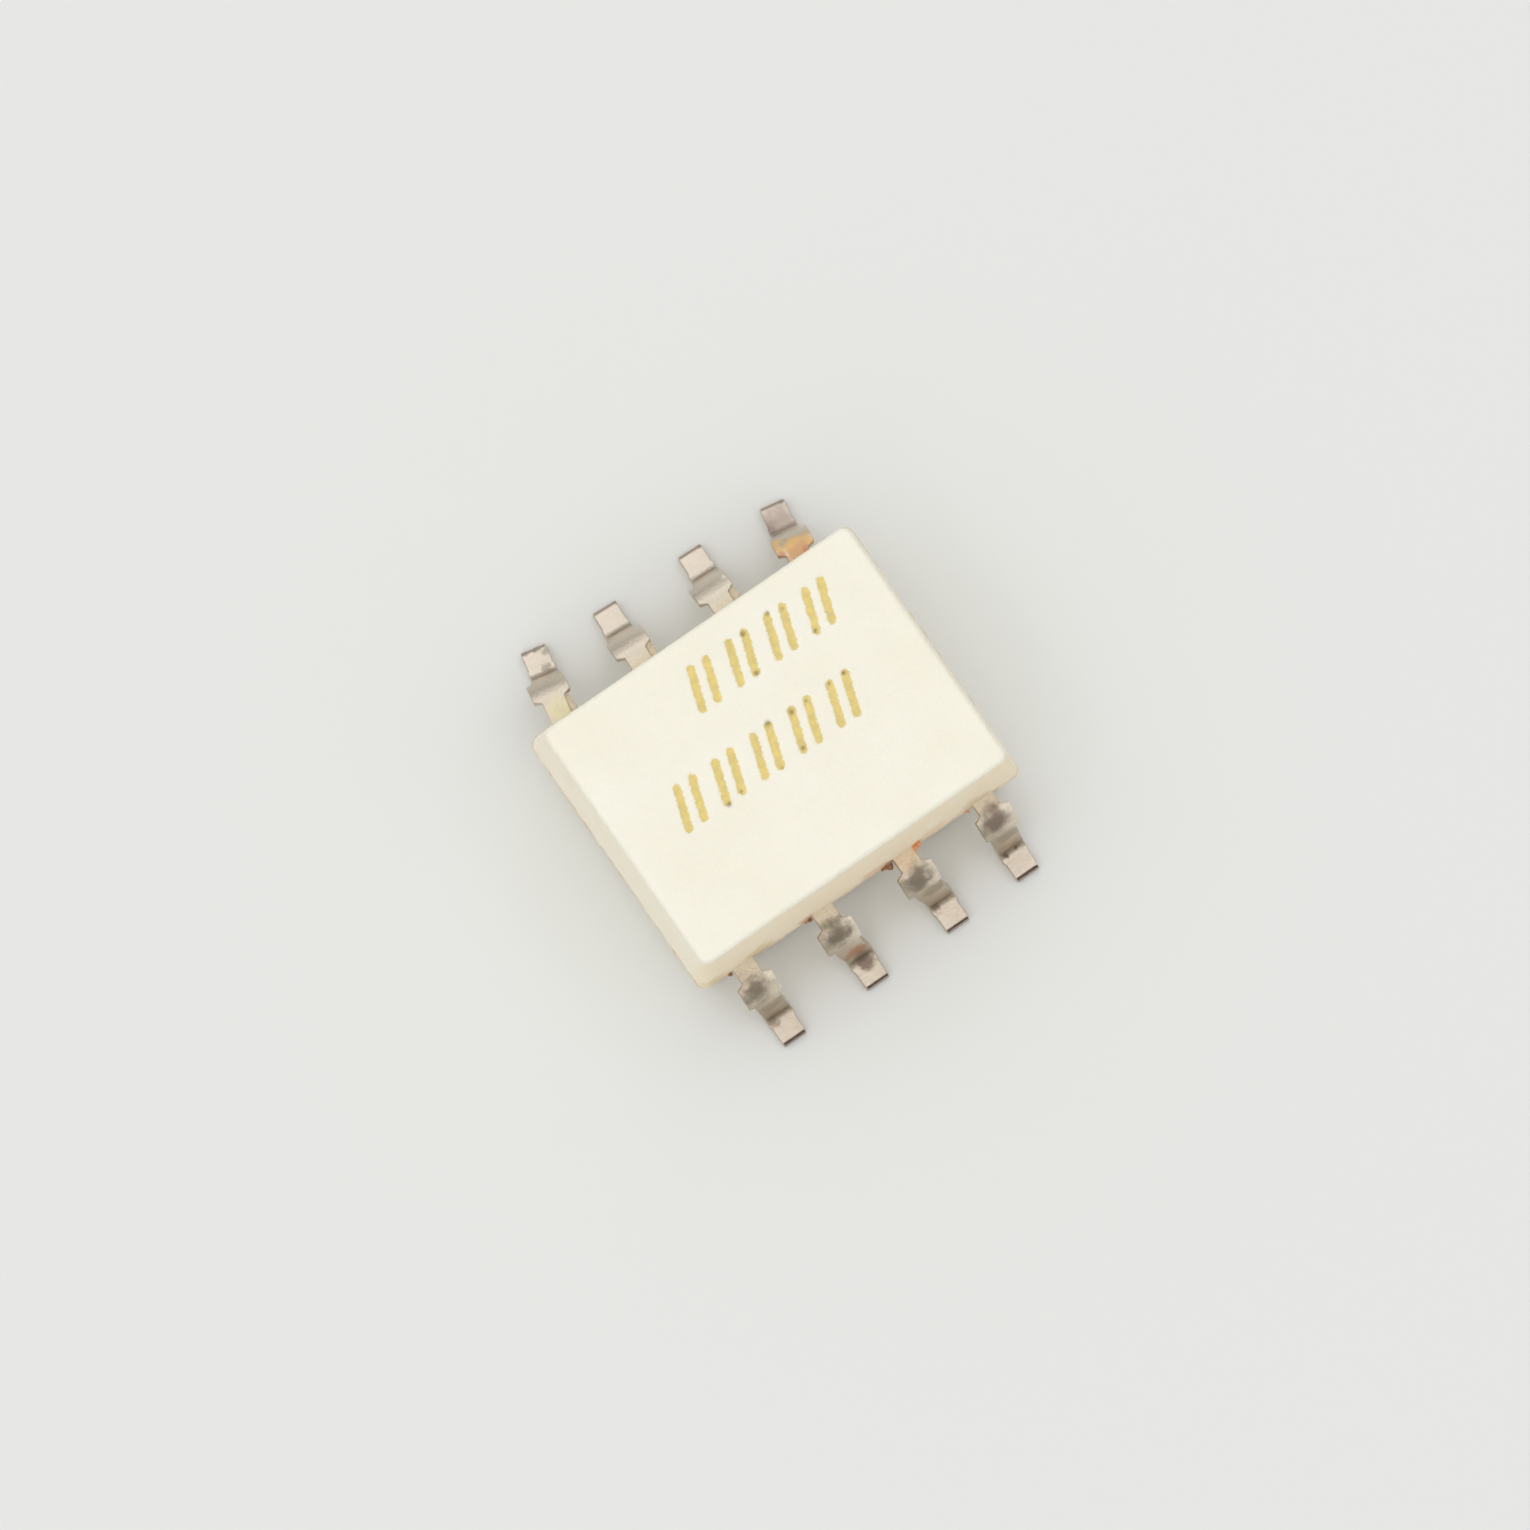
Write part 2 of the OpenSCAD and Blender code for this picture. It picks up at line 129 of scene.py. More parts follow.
class Paint:
    """A Principled material whose nodes work in millimetres of the part's frame."""

    def __init__(self, name):
        self.material = bpy.data.materials.new(name)
        self.material.use_nodes = True
        self.tree = self.material.node_tree
        self.shader = next(n for n in self.tree.nodes if n.type == "BSDF_PRINCIPLED")
        place = self.node("ShaderNodeTexCoord").outputs["Object"]
        scaled = self.node("ShaderNodeVectorMath", {0: place, "Scale": 1 / MM}, operation="SCALE")
        self.where = scaled.outputs[0]
        axes = self.node("ShaderNodeSeparateXYZ", {0: self.where})
        self.x, self.y, self.z = axes.outputs

    def node(self, kind, inputs=None, **settings):
        made = self.tree.nodes.new(kind)
        for key, value in settings.items():
            setattr(made, key, value)
        for key, value in (inputs or {}).items():
            self.feed(made.inputs[key], value)
        return made

    def feed(self, socket, value):
        if isinstance(value, bpy.types.NodeSocket):
            self.tree.links.new(value, socket)
        else:
            socket.default_value = value

    def set(self, **inputs):
        """Sets the shader's sockets: base_color="..." goes to Base Color."""
        for key, value in inputs.items():
            self.feed(self.shader.inputs[SOCKETS.get(key, key.replace("_", " ").title())], value)

    def math(self, operation, *values):
        return self.node("ShaderNodeMath", dict(enumerate(values)), operation=operation).outputs[0]

    def step(self, value, low, high):
        """A soft step from 0 at low to 1 at high, where high may be below low."""
        inputs = {"Value": value, "From Min": low, "From Max": high}
        made = self.node("ShaderNodeMapRange", inputs, interpolation_type="SMOOTHSTEP")
        return made.outputs["Result"]

    def noise(self, size, detail=3, low=0.0, high=1.0):
        """Cloudy noise with features of this size, spread between low and high."""
        inputs = {
            "Vector": self.where, "Scale": 1 / size, "Detail": detail, "Roughness": NOISE_ROUGHNESS}
        made = self.node("ShaderNodeTexNoise", inputs)
        spread = self.node("ShaderNodeMapRange", {
            "Value": made.outputs[0], "From Min": NOISE_SPAN[0], "From Max": NOISE_SPAN[1],
            "To Min": low, "To Max": high})
        return spread.outputs["Result"]

    def mix(self, factor, first, second):
        made = self.node("ShaderNodeMix", {0: factor, 6: first, 7: second}, data_type="RGBA")
        return made.outputs[2]

    def read(self, name):
        """A value that the mesh carries at its vertices."""
        return self.node("ShaderNodeAttribute", attribute_name=name).outputs["Fac"]

    def spot(self, centre, radius, soft, wobble):
        """1 near a place and 0 beyond a radius, with a soft rim that wanders in and out."""
        inputs = {0: self.where, 1: tuple(centre)}
        away = self.node("ShaderNodeVectorMath", inputs, operation="DISTANCE").outputs["Value"]
        away = self.math("ADD", away, self.noise(radius, low=-wobble, high=wobble))
        return self.step(away, radius * (1 + soft), radius * (1 - soft))

    def marks(self, colour, places, soft, ragged):
        """The colour with spots on it, given as (middle, radius, shade, strength), and how much each
        spot covers. Soft and ragged are shares of a spot's radius."""
        spots = []
        for place, radius, shade, share in places:
            spot = self.math("MULTIPLY", self.spot(place, radius, soft, radius * ragged), share)
            colour = self.mix(spot, colour, rgb(*shade))
            spots.append(spot)
        return colour, spots

    def bump(self, height, depth):
        """Bump from a height of 0 to 1, depth millimetres deep."""
        made = self.node("ShaderNodeBump", {"Height": height, "Distance": depth * MM})
        self.set(normal=made.outputs[0])


# Stains of flux and resin on the walls: middle, radius, colour, strength.
WALL_STAINS = [
    ((0.40, -2.0, 1.3), 0.10, (150, 104, 70), 0.8),
    ((0.86, -1.98, 1.35), 0.08, (232, 168, 110), 0.9),
    ((0.2, -1.97, 1.35), 0.16, (232, 188, 150), 0.6),
    ((1.15, -1.96, 1.4), 0.16, (236, 200, 160), 0.5),
    ((-0.84, -1.98, 1.3), 0.12, (206, 158, 120), 0.7),
    ((-1.6, -1.97, 1.35), 0.2, (214, 186, 132), 0.6),
    ((-2.3, -1.95, 1.4), 0.14, (212, 190, 120), 0.5),
    ((1.8, -1.96, 1.4), 0.2, (214, 190, 150), 0.5),
]
# Depths below the top face between which the wall's colour gives way to the face's.
FACE_FADE = (0.12, 0.01)
# Distances from the seam between which its grime comes up.
GRIME_FADE = (0.14, 0.01)
# The wall over leads 1 to 4, on the -Y side, is painted yellower and darker as painted shade: not yet
# at the first Y, fully at the second.
SHADED_SIDE_Y = (-1.7, -1.86)
# How far a mark's outline wanders, and half the width of its soft edge.
MARK_WANDER = 0.016
MARK_SOFT = 0.012
# Size of the resin's fine grain, and depth of the bump that grain makes on resin and tin alike.
MOULD_GRAIN = 0.035
GRAIN_DEPTH = 0.004


def mould_material():
    """Cream moulding resin, matt, a little cloudy and dirty along its seam, with painted light on its
    walls and painted shade on the -Y wall.
    """
    paint = Paint("cream_mould")
    top = paint.step(paint.z, TOP_Z - FACE_FADE[0], TOP_Z - FACE_FADE[1])
    # The walls are painted lighter than the top face: painted light, for the light that the steep
    # walls don't get.
    wall_painted_light = paint.mix(paint.noise(0.5), rgb(251, 241, 218), rgb(253, 245, 226))
    # The wall on the -Y side is painted yellower and darker: painted shade on that side.
    shaded_side = paint.math("MULTIPLY", paint.step(paint.y, *SHADED_SIDE_Y), paint.noise(0.3, low=0.6, high=1.0))
    wall_painted_light = paint.mix(shaded_side, wall_painted_light, rgb(252, 234, 203))
    face = paint.mix(paint.noise(0.9), rgb(247, 243, 228), rgb(244, 239, 221))
    colour = paint.mix(top, wall_painted_light, face)

    off_seam = paint.math("ABSOLUTE", paint.math("SUBTRACT", paint.z, PARTING_Z))
    seam = paint.step(off_seam, *GRIME_FADE)
    grime = paint.math("MULTIPLY", seam, paint.noise(0.16, detail=4, low=0.0, high=0.8))
    colour = paint.mix(grime, colour, rgb(206, 178, 142))
    colour, _ = paint.marks(colour, WALL_STAINS, soft=0.6, ragged=0.5)

    edge = paint.math("ADD", paint.read("mark"), paint.noise(0.05, low=-MARK_WANDER, high=MARK_WANDER))
    gold = paint.mix(paint.noise(0.1), rgb(236, 213, 130), rgb(216, 196, 128))
    colour = paint.mix(paint.step(edge, MARK_SOFT, -MARK_SOFT), colour, gold)
    burnt = paint.math("MULTIPLY", paint.read("burn"), paint.noise(0.03, low=0.4, high=1.2))
    colour = paint.mix(burnt, colour, rgb(112, 82, 44))

    paint.set(base_color=colour, roughness=0.62, subsurface_weight=0.15)
    paint.set(subsurface_radius=(1.0, 0.7, 0.4), subsurface_scale=0.15 * MM)
    paint.bump(paint.noise(MOULD_GRAIN, detail=4), GRAIN_DEPTH)
    return paint.material


# Colours of the marks on the leads.
BROWN = (98, 70, 48)
AMBER = (226, 184, 122)
COPPER = (186, 116, 88)
# A painted highlight, for the glints on the stubs and tips.
PAINTED_HIGHLIGHT = (250, 244, 232)
# Painted shade on the shoulders and legs, where the bends reflect the unlit side and the shaded floor.
SHOULDER_SHADE = (112, 99, 80)
LEG_SHADE = (146, 132, 108)
# Tarnish and flux on the leads, with painted shade on the shoulders and legs and painted highlights:
# middle, radius, colour, strength.
LEAD_STAINS_AND_PAINTED_LIGHT = [
    # lead 1
    ((-1.91, -2.77, 0.18), 0.07, BROWN, 0.5),
    ((-1.92, -2.34, 1.2), 0.18, SHOULDER_SHADE, 0.85),
    ((-1.83, -2.62, 0.7), 0.16, LEG_SHADE, 0.7),
    ((-1.78, -2.2, 1.25), 0.025, PAINTED_HIGHLIGHT, 0.9),
    # lead 2
    ((-0.53, -2.6, 0.6), 0.15, (170, 112, 66), 0.8),
    ((-0.48, -2.77, 0.15), 0.1, (92, 60, 42), 0.7),
    ((-0.65, -2.31, 1.2), 0.18, SHOULDER_SHADE, 0.9),
    # lead 3
    ((0.68, -2.71, 0.2), 0.06, BROWN, 0.6),
    ((0.61, -2.33, 1.2), 0.18, SHOULDER_SHADE, 0.85),
    ((0.77, -2.54, 0.8), 0.17, LEG_SHADE, 0.75),
    ((0.42, -2.04, 1.25), 0.07, (84, 52, 34), 0.9),
    ((0.84, -2.03, 1.3), 0.06, (226, 160, 104), 0.9),
    ((0.62, -2.08, 1.32), 0.13, (224, 190, 158), 0.5),
    # lead 4
    ((1.82, -2.68, 0.2), 0.045, (88, 72, 54), 0.9),
    ((1.99, -2.66, 0.2), 0.035, (112, 66, 44), 0.9),
    # painted shade on the shoulder
    ((1.88, -2.29, 1.22), 0.17, (112, 92, 80), 0.85),
    ((1.95, -2.57, 0.8), 0.16, LEG_SHADE, 0.7),
    ((2.1, -2.99, 0.12), 0.03, PAINTED_HIGHLIGHT, 1.0),
    # lead 5
    ((2.07, 2.85, 0.12), 0.035, (84, 70, 52), 0.9),
    ((1.75, 2.65, 0.2), 0.09, (92, 74, 58), 0.8),
    ((1.88, 2.62, 0.3), 0.26, (172, 154, 144), 0.7),
    ((1.72, 2.5, 0.5), 0.09, (104, 84, 66), 0.8),
    ((1.6, 2.22, 1.2), 0.13, AMBER, 0.95),
    ((1.78, 2.15, 1.28), 0.13, AMBER, 0.95),
    ((1.95, 2.1, 1.25), 0.12, AMBER, 0.95),
    ((1.78, 2.02, 1.32), 0.15, (208, 164, 122), 0.9),
    ((1.58, 2.12, 1.3), 0.06, COPPER, 0.6),
    ((1.9, 2.02, 1.32), 0.05, COPPER, 0.5),
    # lead 6
    ((0.85, 2.99, 0.12), 0.035, (104, 92, 74), 0.8),
    ((0.8, 2.31, 1.22), 0.045, PAINTED_HIGHLIGHT, 1.0),
    # lead 7
    ((-0.46, 3.0, 0.12), 0.04, (96, 86, 64), 0.8),
    ((-0.48, 2.32, 1.2), 0.045, PAINTED_HIGHLIGHT, 1.0),
    # lead 8
    ((-1.83, 3.12, 0.12), 0.05, (112, 106, 84), 0.8),
    ((-1.68, 3.08, 0.12), 0.05, (112, 106, 84), 0.8),
    ((-1.6, 2.98, 0.1), 0.06, (150, 146, 122), 0.7),
    ((-1.7, 2.8, 0.15), 0.06, (150, 146, 122), 0.6),
    ((-1.85, 2.42, 1.0), 0.22, (182, 173, 144), 0.7),
    ((-1.98, 2.48, 0.9), 0.07, (104, 92, 60), 0.9),
    ((-1.7, 2.27, 1.2), 0.035, (92, 76, 52), 0.9),
    ((-1.76, 2.34, 1.22), 0.035, PAINTED_HIGHLIGHT, 0.9),
    ((-1.95, 2.1, 1.3), 0.14, (222, 214, 170), 0.7),
]


# Y between which the front row's finish gives way to the back row's.
ROW_FADE = (-0.1, 0.1)
# Heights between which the leg's colour gives way to the foot's lighter colour, a painted reflection
# of the overhead light on the flat feet.
FOOT_SHEEN_FADE = (0.17, 0.14)
# Covers of resin, flux or tarnish, and the painted shade, highlights and reflections: at the first a
# lead would be no metal, at the second it still is.
DULL_SPAN = (1.3, 0.1)
TIN_GRAIN = 0.04


def tinned_material():
    """Tinned strip, tarnished in patches, with painted shade, highlights and reflections. Pale resin
    has bled over its neck.
    """
    paint = Paint("tinned_strip")
    colour = paint.mix(paint.noise(0.12, detail=4), rgb(200, 187, 168), rgb(180, 167, 147))
    # Leads 5 to 8 are painted lighter, as painted light for the brighter lamps on their side.
    colour = paint.mix(paint.step(paint.y, *ROW_FADE), colour, rgb(204, 193, 177))
    # The flat feet are painted lighter: a painted reflection of the overhead light.
    foot_sheen = paint.math("MULTIPLY", paint.step(paint.z, *FOOT_SHEEN_FADE), 0.5)
    colour = paint.mix(foot_sheen, colour, rgb(226, 213, 199))
    bled = paint.math("MULTIPLY", paint.read("neck"), paint.noise(0.09, low=0.5, high=1.0))
    colour = paint.mix(bled, colour, rgb(224, 211, 184))
    # The +X stubs of the dam bar are painted paler: a painted reflection of the light on their bends.
    ear_sheen = paint.math("MULTIPLY", paint.read("ear_sheen"), paint.noise(0.06, low=0.6, high=1.0))
    colour = paint.mix(ear_sheen, colour, rgb(236, 224, 206))
    colour, spots = paint.marks(colour, LEAD_STAINS_AND_PAINTED_LIGHT, soft=0.5, ragged=0.4)
    dull = paint.math("ADD", bled, ear_sheen)
    for spot in spots:
        dull = paint.math("MAXIMUM", dull, spot)
    paint.set(base_color=colour, metallic=paint.step(dull, *DULL_SPAN))
    clean = paint.noise(0.08, low=0.26, high=0.38)
    paint.set(roughness=paint.math("ADD", clean, paint.math("MULTIPLY", dull, 0.15)))
    paint.bump(paint.noise(TIN_GRAIN, detail=4), GRAIN_DEPTH)
    return paint.material


def cut_material():
    """Bare sheared end of a lead, where the copper has darkened in flecks."""
    paint = Paint("sheared_copper")
    fleck = paint.noise(0.035, detail=4)
    colour = paint.mix(fleck, rgb(62, 44, 38), rgb(120, 96, 82))
    faded = paint.math("MULTIPLY", paint.step(paint.y, *ROW_FADE), 0.6)
    colour = paint.mix(faded, colour, rgb(186, 172, 154))
    paint.set(base_color=colour, metallic=0.0, roughness=0.8)
    return paint.material


def plain_material(name, first, second, metallic, roughness, size):
    """A finish of two close shades, for pieces inside the body."""
    paint = Paint(name)
    paint.set(base_color=paint.mix(paint.noise(size), rgb(*first), rgb(*second)), metallic=metallic)
    paint.set(roughness=paint.noise(size / 2, low=roughness * 0.8, high=roughness * 1.2))
    return paint.material


# ---------------------------------------------------------------- meshes


def add_piece(name, mesh, material, slot, *stands_for):
    """Adds a mesh in millimetres as a piece of the object that rides on its one body."""
    mesh.transform(Matrix.Scale(MM, 4))
    for made in material if isinstance(material, list) else [material]:
        mesh.materials.append(made)
    piece = bpy.data.objects.new(name, mesh)
    bpy.context.scene.collection.objects.link(piece)
    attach(piece, "root")
    if stands_for:
        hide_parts(*stands_for)


# Spacing of the body's vertices, and how many stand for the round of a corner or an edge.
SPACING = 0.022
CORNER_STEPS = 7
EDGE_STEPS = 7
# Stands for the distance of a stroke before any has been measured.
FAR = 9.0


def stroke_middles():
    """Middles of all laser strokes."""
    for pairs, middle_x, middle_y in MARK_ROWS:
        for k in range(2 * pairs):
            pair, side = divmod(k, 2)
            yield middle_x + (pair - (pairs - 1) / 2) * MARK_PITCH + (side - 0.5) * MARK_GAP, middle_y


def stroke_distance(x, y):
    """Distance from the outline of the nearest laser stroke, below 0 inside it."""
    best = np.full(x.shape, FAR)
    half_bar = MARK_H / 2 / math.cos(MARK_SLANT) - MARK_W / 2
    for middle_x, middle_y in stroke_middles():
        dx, dy = x - middle_x, y - middle_y
        along = dx * math.sin(MARK_SLANT) + dy * math.cos(MARK_SLANT)
        across = dx * math.cos(MARK_SLANT) - dy * math.sin(MARK_SLANT)
        past = np.maximum(np.abs(along) - half_bar, 0)
        best = np.minimum(best, np.hypot(across, past) - MARK_W / 2)
    return best


# Share of the strokes' ends that are burnt, how far out along half a stroke the burns lie, how far
# they stray sideways, and their radius.
BURNT_SHARE = 0.4
BURN_ALONG = (0.75, 0.95)
BURN_STRAY = 0.02
BURN_R = (0.015, 0.035)


def burn_points():
    """Places where the laser dwelt, and their radius: some ends of the strokes."""
    draw = random.Random(SEED)
    points = []
    for middle_x, middle_y in stroke_middles():
        for end in (-1, 1):
            if draw.random() < BURNT_SHARE:
                reach = end * MARK_H / 2 * draw.uniform(*BURN_ALONG)
                stray = draw.uniform(-BURN_STRAY, BURN_STRAY)
                x = middle_x + reach * math.tan(MARK_SLANT) + stray
                points.append((x, middle_y + reach, draw.uniform(*BURN_R)))
    return points


WALL_STEPS = 12
# Half height of the seam's flash, how far it stands out, and how much that varies.
SEAM_HALF = 0.02
SEAM_OUT = 0.008
SEAM_RAGGED = 0.022
# How far the edge of the top face is chipped in.
EDGE_CHIPS = 0.02
# Raggedness is the sum of two noises: waves per millimetre, and weight.
RAGGED_WAVES = ((9, 0.6), (31, 0.4))
# Width of the slope at the rim of a laser stroke.
MARK_SLOPE = 0.03
NEARLY = 1e-6


def body_profile():
    """Rows from the top face's rim down to the bottom's: how far the row lies out of the top
    face's grid, its height, and its share of the ragged seam."""
    rows = []
    for i in range(EDGE_STEPS + 1):
        angle = math.pi / 2 * i / EDGE_STEPS
        rows.append((CORNER + EDGE * math.sin(angle), TOP_Z - EDGE * (1 - math.cos(angle)), 0))
    seam_out = WALL_R + upper_inset
    for i in range(1, WALL_STEPS):
        share = i / WALL_STEPS
        drop = (TOP_Z - EDGE - PARTING_Z - SEAM_HALF) * share
        rows.append((WALL_R + upper_inset * share, TOP_Z - EDGE - drop, 0))
    for height, out in ((1, 0), (1 / 3, 1), (-1 / 3, 1), (-1, 0)):
        rows.append((seam_out, PARTING_Z + SEAM_HALF * height, out))
    for i in range(1, WALL_STEPS):
        share = i / WALL_STEPS
        drop = (PARTING_Z - SEAM_HALF - BODY_LOW.z - EDGE) * share
        rows.append((seam_out - lower_inset * share, PARTING_Z - SEAM_HALF - drop, 0))
    for i in range(EDGE_STEPS + 1):
        angle = math.pi / 2 * i / EDGE_STEPS
        rows.append((
            seam_out - lower_inset - EDGE * (1 - math.cos(angle)),
            BODY_LOW.z + EDGE * (1 - math.sin(angle)), 0))
    return rows


def grid_rim(nx, ny):
    """The rim of a grid, anticlockwise from above, as (vertex, outward direction in degrees).
    A corner's vertex comes once for each direction of its round."""
    rim = []
    sides = [
        [i * ny for i in range(nx)],
        [(nx - 1) * ny + j for j in range(ny)],
        [i * ny + ny - 1 for i in range(nx - 1, -1, -1)],
        list(range(ny - 1, -1, -1)),
    ]
    for quarter, side in enumerate(sides):
        facing = 90 * quarter - 90
        rim += [(vertex, facing) for vertex in side]
        rim += [(side[-1], facing + 90 * k / CORNER_STEPS) for k in range(1, CORNER_STEPS)]
    return rim


def wall_place(start, turn, reach, reach_out, z, out):
    """Where the wall has the vertex that goes down from a place on the top face's rim."""
    radius = min(reach_out, WALL_R)
    heading = Vector((math.cos(math.radians(turn)), math.sin(math.radians(turn)), 0))
    place = start.copy()
    place.z = 0
    on_side = [math.copysign(abs(place[k]) > reach[k] - NEARLY, place[k]) for k in (0, 1)]
    place += heading * radius
    place += Vector((*on_side, 0)) * (reach_out - radius)
    ragged = sum(weight * noise.noise(place * waves) for waves, weight in RAGGED_WAVES)
    place += heading * out * max(0.0, SEAM_OUT + SEAM_RAGGED * ragged)
    if z > TOP_Z - EDGE - NEARLY:
        place -= heading * EDGE_CHIPS * abs(ragged)
    return Vector((place.x, place.y, z))


def body_mesh():
    """The moulding: a fine top face with sunk laser strokes, drafted walls and a ragged seam."""
    reach = [side - upper_inset - WALL_R for side in (BODY_HIGH.x, BODY_HIGH.y)]
    xs, ys = (np.linspace(-r, r, round(2 * r / SPACING) + 1) for r in reach)
    nx, ny = len(xs), len(ys)
    gx, gy = np.meshgrid(xs, ys, indexing="ij")
    away = stroke_distance(gx, gy)
    sunk = MARK_DEPTH * np.clip(0.5 - away / MARK_SLOPE, 0, 1)
    verts = [Vector((gx[i, j], gy[i, j], TOP_Z - sunk[i, j])) for i in range(nx) for j in range(ny)]
    faces = [
        (i * ny + j, (i + 1) * ny + j, (i + 1) * ny + j + 1, i * ny + j + 1)
        for i in range(nx - 1) for j in range(ny - 1)
    ]

    rim = grid_rim(nx, ny)
    n = len(rim)
    ring = [v for v, _ in rim]
    for row in body_profile():
        below = list(range(len(verts), len(verts) + n))
        verts += [wall_place(verts[vertex], turn, reach, *row) for vertex, turn in rim]
        for k in range(n):
            a, b, c, d = ring[k], ring[(k + 1) % n], below[(k + 1) % n], below[k]
            faces.append((d, c, a) if a == b else (d, c, b, a))
        ring = below
    faces.append(tuple(ring[::-1]))

    mesh = bpy.data.meshes.new("mould_shell")
    mesh.from_pydata([tuple(v) for v in verts], [], faces)
    mesh.validate()
    mesh.shade_smooth()
    marks = np.full(len(verts), 1.0, np.float32)
    marks[: nx * ny] = away.ravel()
    burns = np.zeros(len(verts), np.float32)
    for bx, by, radius in burn_points():
        spot = np.exp(-((gx - bx) ** 2 + (gy - by) ** 2) / radius**2)
        burns[: nx * ny] = np.maximum(burns[: nx * ny], spot.ravel())
    mesh.attributes.new("mark", "FLOAT", "POINT").data.foreach_set("value", marks)
    mesh.attributes.new("burn", "FLOAT", "POINT").data.foreach_set("value", burns)
    return mesh


# Rounding that tumbling and tinning leave on a lead's edges, and the angle that counts as an edge.
LEAD_EDGE = 0.014
SHARP = math.radians(28)
# Vertices closer than this are one, and faces that turn by less than this are one flat.
WELD = 1e-4
FLAT = math.radians(0.6)
# A sheared face lies this near the tip and points outward by at least this share.
TIP_DEPTH = 0.08
TIP_FACING = 0.4
# Length of the straight necks, and how far below the seam a neck still counts as one.
NECK_L = 0.19
NECK_DEPTH = 0.2
# Stubs of the dam bar on the +X side are painted paler, as a painted reflection of the light on their
# bends: not yet at the first distance from the neck's middle and the first height, fully at the second
# of each, and less so in the back row.
SHEEN_EAR_SIDE = (0.13, 0.2)
SHEEN_EAR_HEIGHT = (0.7, 0.9)
BACK_EAR_SHEEN = 0.35
# Where along the row each lead leaves the body.
PITCH = 1.27
EXIT_SHIFT = (0.02, 0, 0.01, 0, -0.14, -0.06, -0.09, -0.09)
NECK_X = {
    f"lead_{n}": (n - 2.5 if n < 5 else 6.5 - n) * PITCH + EXIT_SHIFT[n - 1] for n in range(1, 9)
}


def soft_step(value, low, high):
    """0 at low and 1 at high, with a smooth run between them. High may be below low."""
    share = min(1.0, max(0.0, (value - low) / (high - low)))
    return share * share * (3 - 2 * share)


def lead_mesh(node):
    """A lead as its solid has it, with rounded edges. Its sheared end takes the second material."""
    bm = bmesh.new()
    bm.from_mesh(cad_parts[node].data)
    bmesh.ops.scale(bm, vec=(1 / MM,) * 3, verts=bm.verts)
    bmesh.ops.remove_doubles(bm, verts=bm.verts, dist=WELD)
    bmesh.ops.dissolve_limit(bm, angle_limit=FLAT, verts=bm.verts, edges=bm.edges)
    low, high = mm_box(node)
    back = high.y > -low.y
    tip = max(abs(low.y), abs(high.y))
    for face in bm.faces:
        centre = face.calc_center_median()
        outward = face.normal.y * (1 if back else -1)
        face.material_index = int(outward > TIP_FACING and abs(centre.y) > tip - TIP_DEPTH)
    sharp = [e for e in bm.edges if len(e.link_faces) == 2 and e.calc_face_angle() > SHARP]
    bmesh.ops.bevel(
        bm, geom=sharp, offset=LEAD_EDGE, segments=3, profile=0.5, affect="EDGES", clamp_overlap=True)
    bmesh.ops.triangulate(bm, faces=[f for f in bm.faces if len(f.verts) > 4])
    mesh = bpy.data.meshes.new(node + "_strip")
    bm.to_mesh(mesh)
    bm.free()
    mesh.shade_smooth()

    necks, ear_sheens = [], []
    for vertex in mesh.vertices:
        out = abs(vertex.co.y) - BODY_HIGH.y
        side = vertex.co.x - NECK_X[node]
        necks.append(soft_step(out, NECK_L, 0.0) if vertex.co.z > PARTING_Z - NECK_DEPTH else 0.0)
        ear_sheen = soft_step(side, *SHEEN_EAR_SIDE) * soft_step(vertex.co.z, *SHEEN_EAR_HEIGHT)
        ear_sheens.append(ear_sheen * (BACK_EAR_SHEEN if back else 1.0))
    mesh.attributes.new("neck", "FLOAT", "POINT").data.foreach_set("value", necks)
    mesh.attributes.new("ear_sheen", "FLOAT", "POINT").data.foreach_set("value", ear_sheens)
    return mesh


# Crumbs of flux and resin that cling to the seam beside the leads: middle and size.
CRUMBS = [
    ((0.42, -2.01, 1.22), 0.05), ((0.36, -2.0, 1.26), 0.035), ((0.31, -1.995, 1.24), 0.025),
    ((0.83, -2.01, 1.3), 0.045), ((0.88, -2.0, 1.33), 0.03), ((-0.84, -2.0, 1.25), 0.03),
    ((-0.9, -1.995, 1.24), 0.022), ((1.66, -2.0, 1.24), 0.025), ((-2.1, -2.0, 1.26), 0.03),
]
CRUMB_SQUASH = 0.7
# How far a crumb is out of round, as a share of its size, and waves of that per size.
CRUMB_LUMP = 0.5
CRUMB_WAVES = 0.9
# X between which the crumbs' brown gives way to orange.
ORANGE_X = (0.5, 0.7)

# Webs of resin that squeezed out beside the necks of leads 6 to 8: half width of the neck, then
# how far the web reaches along the row and out from the body.
NECK_HALF = 0.155
WEB_REACH = 0.11
WEB_OUT = 0.24
WEB_T = 0.03
WEB_STEPS = 10
# Raggedness of a web's outer edge: waves per millimetre along the row and outward, and its share.
WEB_WAVES = (7, 16)
WEB_RAGGED = 0.25
WEBBED = ("lead_6", "lead_7", "lead_8")


